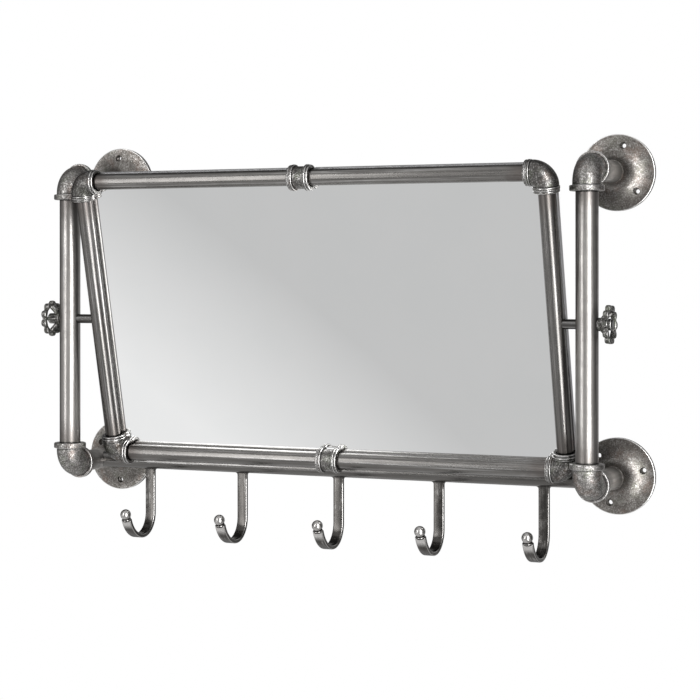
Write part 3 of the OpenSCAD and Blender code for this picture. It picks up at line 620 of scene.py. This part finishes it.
def pipeMaterial(name, axis, f, leanDeg=0.0):
    mat, g = newMaterial(name)
    turned = g.place(leanDeg)
    along = [f["acrossPerM"]] * 3
    along["XYZ".index(axis)] = f["alongPerM"]
    streak = g.noise(g.stretch(turned, along), 1.0, 4.0, 0.6)
    broad = g.noise(g.stretch(turned, [a / 5 for a in along]), 1.0, 3.0, 0.6)
    patch = g.noise(turned, f["patchPerM"], 5.0, 0.62, 0.6)
    dots = g.noise(turned, f["dotsPerM"], 2.0, 0.5)
    s, b = g.ramp(streak, *f["streaks"]), g.ramp(broad, *f["bands"])
    left = g.ramp(patch + broad * 0.25, *f["scaleBand"]) * f["scaleShare"]
    freckle = g.ramp(dots, *f["freckleBand"]) * g.ramp(patch, *f["freckleWhere"])
    colour = g.mixColour(s * 0.6 + b * 0.4, grey(f["dark"], 0.045), grey(f["base"], 0.035))
    colour = g.mixColour(g.ramp(streak * broad, *f["shine"]) * f["shineShare"], colour, grey(f["bright"], 0.015))
    colour = g.mixColour(left, colour, grey(f["scale"], 0.03))
    colour = g.mixColour(freckle * f["freckleShare"], colour, f["freckle"])
    # a darkening with a cloudy edge towards each end, then a thin line of painted shade at the fitting's mouth, by
    # distance from the pipe's middle
    middle, half = (e / 1000 for e in f["ends"])
    (inner, outer), (coarse, fine), (mouthShadeIn, mouthShadeOut) = f["endDarkeningEdge"], f["endDarkeningCloud"], f["mouthShade"]
    place = g.add("ShaderNodeSeparateXYZ", {}, {"Vector": turned}, out=axis)
    far = abs(place - middle)
    endDarkening = g.ramp(far + patch * coarse + broad * fine, half - f["endDarkeningLen"] / 1000 + inner, half + outer)
    colour = g.mixColour(endDarkening * f["endDarkeningShare"], colour, f["endDarkening"])
    colour = g.mixColour(g.ramp(far, half - mouthShadeIn, half - mouthShadeOut) * f["mouthShadeShare"], colour, grey(f["mouthShadeGrey"]))
    dull = f["dull"]
    mixed = s * dull["streak"] + left * dull["scale"] + freckle * dull["freckle"] + endDarkening * dull["endDarkening"]
    rough = f["roughLow"] + (f["roughHigh"] - f["roughLow"]) * mixed
    bump = g.bump(*f["bump"], streak)
    finishMaterial(g, {"Base Color": colour, "Metallic": 1.0, "Roughness": rough, "Normal": bump})
    return mat


# cast iron: a sandy grain with light specks on its highs, dark pits, warm and olive clouds, worn bright where edges
# rub, and painted shade darkening its grooves and socket mouths
castFinish = {"base": 0.225, "dark": 0.15, "bright": 0.70, "pit": 0.045, "rub": 0.80, "warm": 0.04,
              "roughLow": 0.28, "roughHigh": 0.50, "bump": (0.7, 0.00020), "bumpGrain": 0.5, "bumpLump": 0.9,
              "grainPerM": 820.0, "lumpPerM": 190.0, "cloudPerM": 55.0, "masses": (0.36, 0.64),
              "specks": (0.64, 0.74), "speckShare": 0.75, "pits": (0.46, 0.36), "pitShare": 0.6,
              "warmTint": (0.27, 0.21, 0.18, 1.0), "oliveTint": (0.20, 0.215, 0.165, 1.0), "tintShare": 0.45,
              "warmBand": (0.52, 0.66), "oliveBand": (0.48, 0.36), "rubBand": (0.30, 0.85),
              "rubPlain": 0.55, "rubGrain": 0.9, "speckLump": 0.22, "polish": {"speck": 0.6, "rub": 0.8},
              "recessShadeShare": 0.9, "recessShadeTone": 0.6, "recessShadeRough": 0.2}


def castMaterial(name, f=castFinish):
    mat, g = newMaterial(name)
    at = g.place()
    wearAndPaintedLight = g.add("ShaderNodeAttribute", {"attribute_name": "wearAndPaintedLight"}, out="Fac")
    grain = g.noise(at, f["grainPerM"], 3.0, 0.62)
    lump = g.noise(at, f["lumpPerM"], 4.0, 0.6)
    cloud = g.noise(at, f["cloudPerM"], 3.0, 0.55)
    speck = g.ramp(grain + lump * f["speckLump"], *f["specks"])
    rub = g.ramp(wearAndPaintedLight * (f["rubPlain"] + grain * f["rubGrain"]), *f["rubBand"])
    # painted shade: the negatively marked grooves, socket mouths and hook necks darken to near black where shade falls
    recessShade = g.ramp(-wearAndPaintedLight, 0.0, 1.0)
    colour = g.mixColour(g.ramp(lump, *f["masses"]), grey(f["dark"], f["warm"] * 1.2), grey(f["base"], f["warm"]))
    colour = g.mixColour(g.ramp(cloud, *f["warmBand"]) * f["tintShare"], colour, f["warmTint"])
    colour = g.mixColour(g.ramp(cloud, *f["oliveBand"]) * f["tintShare"], colour, f["oliveTint"])
    colour = g.mixColour(speck * f["speckShare"], colour, grey(f["bright"], 0.025))
    colour = g.mixColour(g.ramp(grain, *f["pits"]) * f["pitShare"], colour, grey(f["pit"]))
    colour = g.mixColour(rub, colour, grey(f["rub"], 0.015))
    colour = g.mixColour(recessShade * f["recessShadeShare"], colour, grey(f["pit"] * f["recessShadeTone"]))
    polish = speck * f["polish"]["speck"] + rub * f["polish"]["rub"]
    rough = (f["roughHigh"] - (f["roughHigh"] - f["roughLow"]) * polish + recessShade * f["recessShadeRough"]).clamped()
    bump = g.bump(*f["bump"], grain * f["bumpGrain"] + lump * f["bumpLump"])
    finishMaterial(g, {"Base Color": colour, "Metallic": 1.0, "Roughness": rough, "Normal": bump})
    return mat


# hook iron: drawn bar with lengthwise streaks, freckled, its long edges, collar and ball rubbed bright, a painted
# highlight on the front of the arm tip, and painted shade on the neck under the collar
hookFinish = {"dark": 0.045, "base": 0.098, "bright": 0.30, "rub": 0.85, "freckle": (0.055, 0.04, 0.032, 1.0),
              "roughLow": 0.17, "roughHigh": 0.33, "bump": (0.5, 0.00004), "acrossPerM": 900.0, "alongPerM": 22.0,
              "cloudPerM": 75.0, "streaks": (0.34, 0.66), "clouds": (0.38, 0.62), "shine": (0.29, 0.40),
              "shineShare": 0.6, "freckleBand": (0.62, 0.70), "freckleShare": 0.5, "rubBand": (0.42, 0.92),
              "rubPlain": 0.82, "rubGrain": 0.30, "recessShadeShare": 0.9, "recessShadeGrey": 0.02, "recessShadeRough": 0.3}


def hookMaterial(f):
    mat, g = newMaterial("hook_iron")
    at = g.place()
    wearAndPaintedLight = g.add("ShaderNodeAttribute", {"attribute_name": "wearAndPaintedLight"}, out="Fac")
    streak = g.noise(g.stretch(at, (f["acrossPerM"], f["alongPerM"] * 3, f["alongPerM"])), 1.0, 4.0, 0.6)
    grain = g.noise(at, f["acrossPerM"], 3.0, 0.6)
    cloud = g.noise(at, f["cloudPerM"], 4.0, 0.6)
    s, c = g.ramp(streak, *f["streaks"]), g.ramp(cloud, *f["clouds"])
    # the rub mask also carries the painted highlight on the front of the arm tip
    rub = g.ramp(wearAndPaintedLight * (f["rubPlain"] + grain * f["rubGrain"]), *f["rubBand"])
    # painted shade: the neck under the collar darkens where shade falls
    recessShade = g.ramp(-wearAndPaintedLight, 0.0, 1.0)
    colour = g.mixColour(s * 0.65 + c * 0.35, grey(f["dark"], 0.06), grey(f["base"], 0.05))
    colour = g.mixColour(g.ramp(streak * cloud, *f["shine"]) * f["shineShare"], colour, grey(f["bright"], 0.03))
    colour = g.mixColour(g.ramp(grain, *f["freckleBand"]) * c * f["freckleShare"], colour, f["freckle"])
    colour = g.mixColour(rub, colour, grey(f["rub"], 0.02))
    colour = g.mixColour(recessShade * f["recessShadeShare"], colour, grey(f["recessShadeGrey"]))
    rough = f["roughLow"] + (f["roughHigh"] - f["roughLow"]) * (c * 0.6 + grain * 0.4) + recessShade * f["recessShadeRough"]
    bump = g.bump(*f["bump"], grain * 0.5 + streak * 0.5)
    finishMaterial(g, {"Base Color": colour, "Metallic": 1.0, "Roughness": rough, "Normal": bump})
    return mat


# silvered glass: clean, with a faint haze
mirrorFinish = {"clear": (0.985, 0.99, 0.99, 1), "hazy": (0.965, 0.975, 0.975, 1), "hazePerM": 9.0,
                "hazeBand": (0.35, 0.75), "rough": 0.004, "hazeRough": 0.006}


def mirrorMaterial(f):
    mat, g = newMaterial("silvered_glass")
    haze = g.ramp(g.noise(g.place(), f["hazePerM"], 4.0, 0.6), *f["hazeBand"])
    finishMaterial(g, {"Base Color": g.mixColour(haze, f["clear"], f["hazy"]), "Metallic": 1.0,
                       "Roughness": f["rough"] + f["hazeRough"] * haze})
    return mat


# galvanised sheet: overlapping crystal patches and a few rolling marks
sheetFinish = {"low": 0.38, "high": 0.62, "cool": 1.03, "flakePerM": 65.0, "cloudPerM": 30.0, "rollPerM": (3, 300, 300),
               "rough": 0.34, "roughShare": 0.18, "bump": (0.3, 0.0001)}


def sheetMaterial(f):
    mat, g = newMaterial("pan_sheet")
    at = g.place(lean["turnDeg"])
    flake = g.add("ShaderNodeTexVoronoi", {"feature": "F1", "distance": "EUCLIDEAN"},
                  {"Vector": at, "Scale": f["flakePerM"], "Randomness": 1.0}, out="Color")
    tone = g.add("ShaderNodeRGBToBW", {}, {"Color": flake})
    cloud = g.noise(at, f["cloudPerM"], 4.0, 0.6)
    roll = g.noise(g.stretch(at, f["rollPerM"]), 1.0, 3.0, 0.6)
    mixed = (tone * 0.45 + cloud * 0.4 + roll * 0.25).clamped()
    colour = g.mixColour(mixed, grey(f["low"]), (f["high"], f["high"], f["high"] * f["cool"], 1))
    finishMaterial(g, {"Base Color": colour, "Metallic": 1.0, "Roughness": f["rough"] + f["roughShare"] * mixed,
                       "Normal": g.bump(*f["bump"], roll + cloud)})
    return mat


# dark hardboard behind the glass, with pressed fibres
boardFinish = {"low": (0.045, 0.032, 0.022, 1), "high": (0.15, 0.105, 0.07, 1), "fibrePerM": 700.0, "cloudPerM": 25.0,
               "fibreBand": (0.5, 0.85), "rough": 0.62, "roughShare": 0.25, "bump": (0.4, 0.0002)}


def boardMaterial(f):
    mat, g = newMaterial("backing_board")
    at = g.place(lean["turnDeg"])
    fibre = g.noise(at, f["fibrePerM"], 5.0, 0.7, 1.5)
    cloud = g.noise(at, f["cloudPerM"], 3.0, 0.5)
    colour = g.mixColour(g.ramp(fibre + cloud * 0.4, *f["fibreBand"]), f["low"], f["high"])
    finishMaterial(g, {"Base Color": colour, "Roughness": f["rough"] + f["roughShare"] * fibre,
                       "Normal": g.bump(*f["bump"], fibre)})
    return mat


def dress(mat, *names):
    for name in names:
        nodes[name].data.materials.clear()
        nodes[name].data.materials.append(mat)


# each casting's own shade
flangeFinish = dict(castFinish, base=0.18, dark=0.12, bright=0.42, warm=0.075, roughLow=0.24, roughHigh=0.42,
                    warmTint=(0.205, 0.155, 0.13, 1.0), oliveTint=(0.165, 0.165, 0.14, 1.0))
frameElbowFinish = dict(castFinish, base=0.115, dark=0.065, bright=0.42, roughLow=0.22, roughHigh=0.42,
                        warmTint=(0.13, 0.10, 0.08, 1.0), oliveTint=(0.11, 0.118, 0.092, 1.0))
couplingFinish = dict(castFinish, base=0.135, dark=0.08, bright=0.48, roughLow=0.24, roughHigh=0.44,
                      warmTint=(0.17, 0.13, 0.11, 1.0), oliveTint=(0.13, 0.14, 0.11, 1.0))
wheelFinish = dict(castFinish, base=0.115, dark=0.06, bright=0.56, warmTint=(0.10, 0.115, 0.09, 1.0), rub=0.55)

addSideElbows(sideElbow, castMaterial("wall_elbow_casting"))
addFrameElbows(frameElbow, castMaterial("frame_elbow_casting", frameElbowFinish))
addCouplings(couplingShape, castMaterial("coupling_casting", couplingFinish))
addFlanges(flangeShape, castMaterial("wall_flange_casting", flangeFinish))
addHooks(hookShape, hookMaterial(hookFinish))
addWheels(wheelShape, castMaterial("wheel_casting", wheelFinish))

# each pipe's own tone, and where its fittings grip it; the standoffs' lighter tone and darkened ends are painted light
# and shade
leanTurn = math.radians(lean["turnDeg"])
leanMiddle = wall["reach"] * math.sin(leanTurn) + lean["rise"] * math.cos(leanTurn)
sidePipeFinish = dict(pipeFinish, base=0.41, dark=0.25, bright=0.66, roughLow=0.30, roughHigh=0.42,
                      ends=(0.0, wall["standoffZ"] - sideElbow["reach"]))
framePipeFinish = dict(pipeFinish, base=0.18, dark=0.10, bright=0.42,
                       ends=(leanMiddle, frameSize["z"] - frameElbow["reach"]))
crossPipeFinish = dict(pipeFinish, base=0.21, dark=0.12, bright=0.50, endDarkeningLen=22.0,
                       ends=(lean["shift"], frameSize["x"] - frameElbow["reach"]))
railFinish = dict(pipeFinish, base=0.17, dark=0.10, bright=0.40)
# the standoffs are lighter than the other pipes, painted light for the light falling on them from the top and left, and
# their ends darken towards elbow and flange, painted shade that lets each standoff shade into its flange
standoffLitFinish = dict(pipeFinish, base=0.56, dark=0.40, bright=0.78, roughLow=0.38, roughHigh=0.50,
                      ends=(-65.5, 38.3), endDarkening=(0.115, 0.108, 0.100, 1.0), endDarkeningShare=0.80, endDarkeningLen=34.0)
rodFinish = dict(pipeFinish, base=0.12, dark=0.06, bright=0.34, scale=0.05, roughLow=0.15, roughHigh=0.28)

dress(pipeMaterial("side_pipe_steel", "Z", sidePipeFinish), "side_pipe_l", "side_pipe_r")
dress(pipeMaterial("frame_side_steel", "Z", framePipeFinish, lean["turnDeg"]), "frame_pipe_l", "frame_pipe_r")
dress(pipeMaterial("cross_pipe_steel", "X", crossPipeFinish),
      "top_pipe_l", "top_pipe_r", "bottom_pipe_l", "bottom_pipe_r")
dress(pipeMaterial("hook_rail_steel", "X", railFinish), "hook_rail")
dress(pipeMaterial("standoff_steel_painted_light", "Y", standoffLitFinish), "standoff_tl", "standoff_tr", "standoff_bl", "standoff_br")
dress(pipeMaterial("pivot_rod_steel", "X", rodFinish), "pivot_rod_l", "pivot_rod_r")
print("pipes, rail and rods dressed")
dress(mirrorMaterial(mirrorFinish), "mirror_glass")
dress(boardMaterial(boardFinish), "backing_board")
dress(sheetMaterial(sheetFinish), "back_pan", "pan_screws")
print("glass, board and pan dressed")
